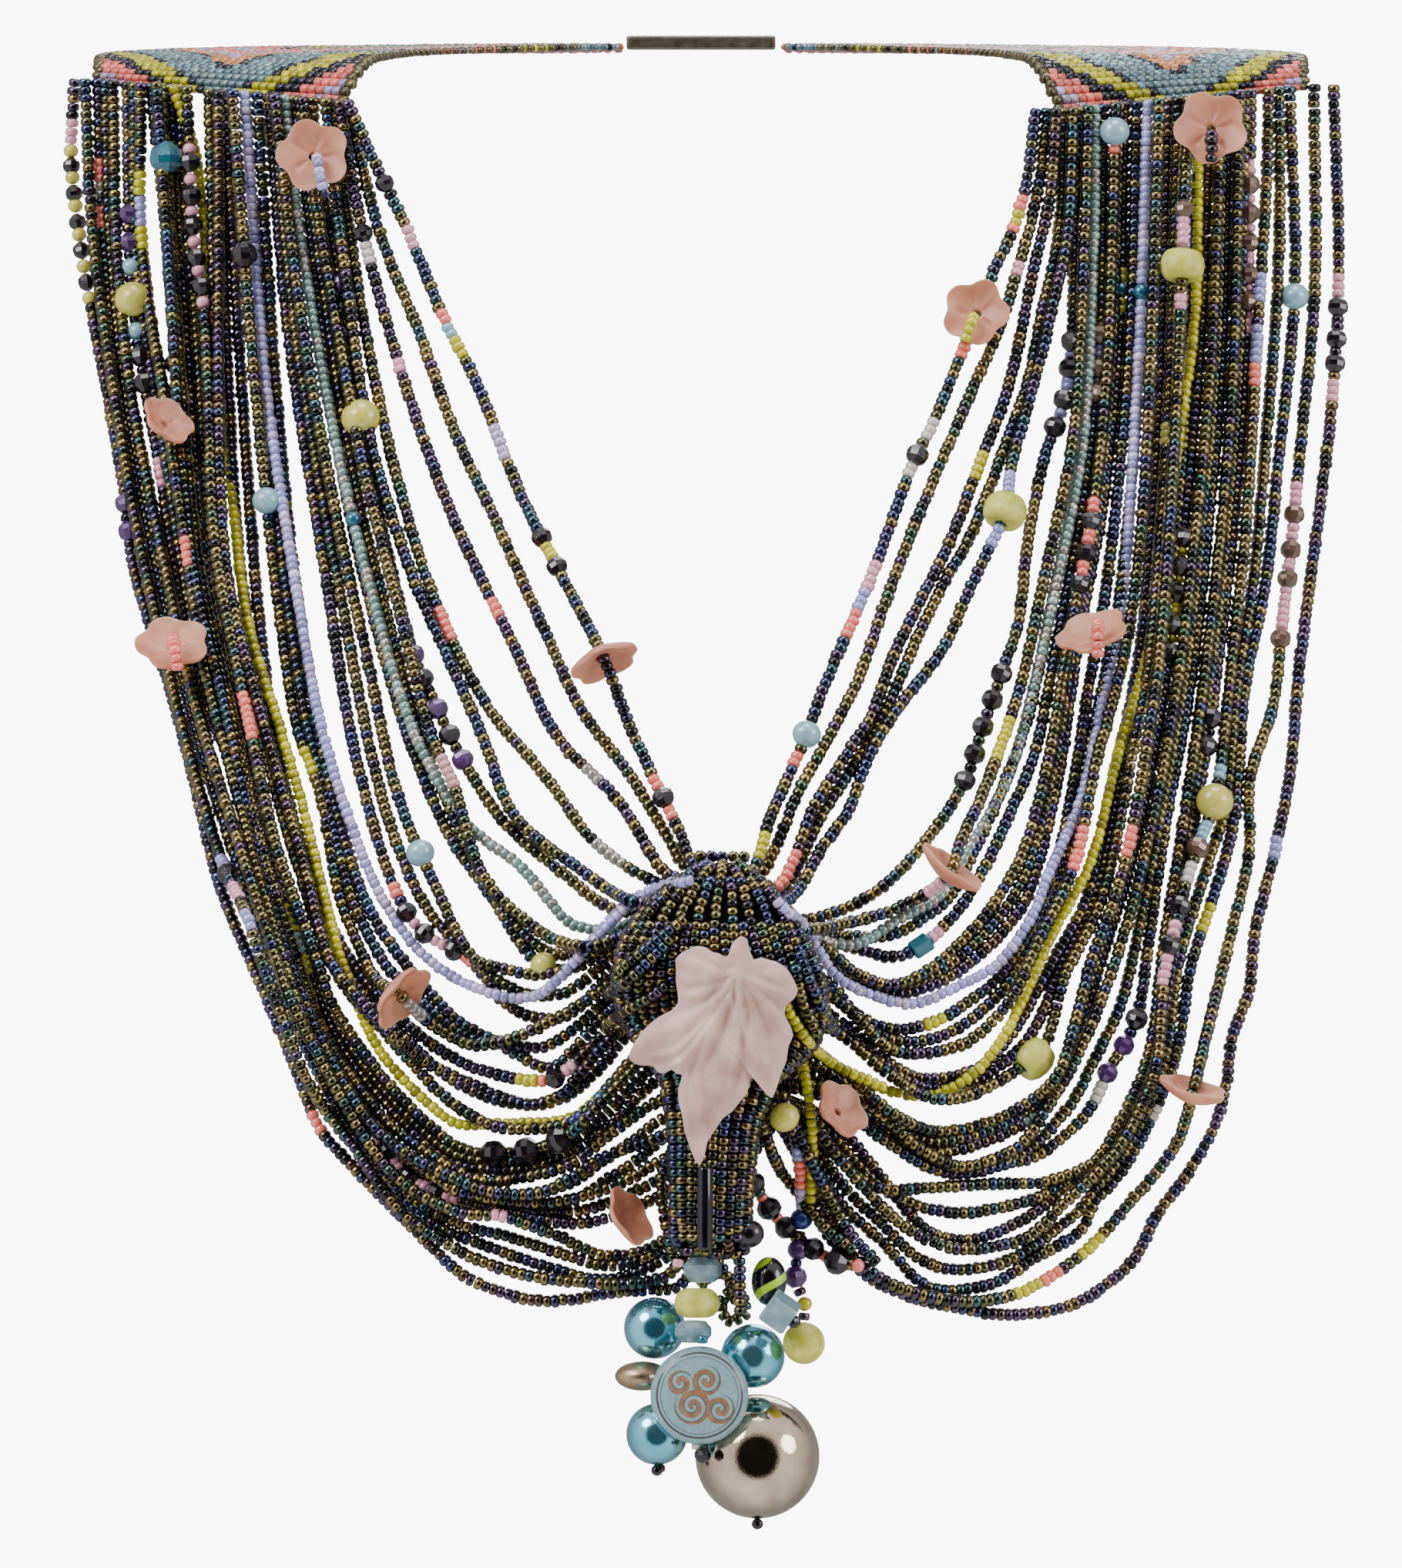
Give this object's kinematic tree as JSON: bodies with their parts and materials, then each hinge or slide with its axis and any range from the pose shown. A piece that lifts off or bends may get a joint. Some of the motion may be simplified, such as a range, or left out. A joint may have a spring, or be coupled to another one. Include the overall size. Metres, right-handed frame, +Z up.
{
  "type": "beaded shoulder harness",
  "caption": "Wide bib collar of seed-bead strings hung between two woven shoulder bands, gathered in front over a leaf pendant and a cluster of pearl and glass drops.",
  "frame": {"origin": "middle of the neck opening, level with the tops of the two shoulder bands", "axes": "+Z up, +Y towards the nape clasp, -Y towards the front of the wearer, +X to the right of the front view"},
  "size_m": [0.2258, 0.1807, 0.2634],
  "materials": {
    "seed_dark": "iris-coated glass seed beads with a metallic sheen",
    "seed_lavender": "glossy opaque glass seed beads",
    "seed_lime": "glossy opaque glass seed beads",
    "seed_seafoam": "silvery lined glass seed beads",
    "band_weave": "woven cylinder beads in a nested chevron pattern",
    "clasp_metal": "dark plated",
    "petal_glass": "matt frosted coral glass",
    "leaf_glass": "matt frosted rose glass",
    "tube_glass": "dark glossy glass",
    "yellow_green_glass": "frosted yellow-green glass",
    "pale_blue_glass": "pale blue faceted glass",
    "turquoise_pearl": "pearl coating",
    "silver_pearl": "mirror-like pearl coating",
    "bronze_metal": "satin bronze",
    "carved_disc": null,
    "striped_glass": "dark glass with yellow-green stripes"
  },
  "bodies": {
    "root": {"band_left": "band_weave", "band_right": "band_weave", "clasp": "clasp_metal", "drop_bead_green": "yellow_green_glass", "drop_bead_striped": "striped_glass", "drop_cube": "pale_blue_glass", "drop_disc_bronze": "bronze_metal", "drop_disc_scroll": "carved_disc", "drop_pearl_big": "silver_pearl", "drop_pearl_lower": "turquoise_pearl", "drop_pearl_right": "turquoise_pearl", "drop_pearl_upper": "turquoise_pearl", "drop_rondelle_lower": "pale_blue_glass", "drop_rondelle_upper": "pale_blue_glass", "drop_rondelle_yellow": "yellow_green_glass", "flower_drop_left": "petal_glass", "flower_drop_right": "petal_glass", "flower_hidden_left": "petal_glass", "flower_inner_left": "petal_glass", "flower_low_left": "petal_glass", "flower_low_right": "petal_glass", "flower_neck_right": "petal_glass", "flower_outer_right": "petal_glass", "flower_side_left": "petal_glass", "flower_side_right": "petal_glass", "flower_top_left": "petal_glass", "flower_top_right": "petal_glass", "gather_hump": "seed_dark", "leaf_pendant": "leaf_glass", "rondelle_inner_right": "yellow_green_glass", "rondelle_low_right": "yellow_green_glass", "rondelle_top_right": "yellow_green_glass", "string_01": "seed_dark", "string_02": "seed_dark", "string_03": "seed_dark", "string_04": "seed_dark", "string_05": "seed_dark", "string_06": "seed_dark", "string_07": "seed_seafoam", "string_08": "seed_dark", "string_09": "seed_dark", "string_10": "seed_dark", "string_11": "seed_dark", "string_12": "seed_lavender", "string_13": "seed_dark", "string_14": "seed_dark", "string_15": "seed_dark", "string_16": "seed_dark", "string_17": "seed_lime", "string_18": "seed_dark", "string_19": "seed_dark", "string_20": "seed_dark", "string_21": "seed_dark", "string_22": "seed_dark", "string_23": "seed_dark", "string_24": "seed_dark", "string_25": "seed_dark", "string_26": "seed_dark", "string_27": "seed_dark", "tube_bead": "tube_glass"}
  },
  "joints": []
}
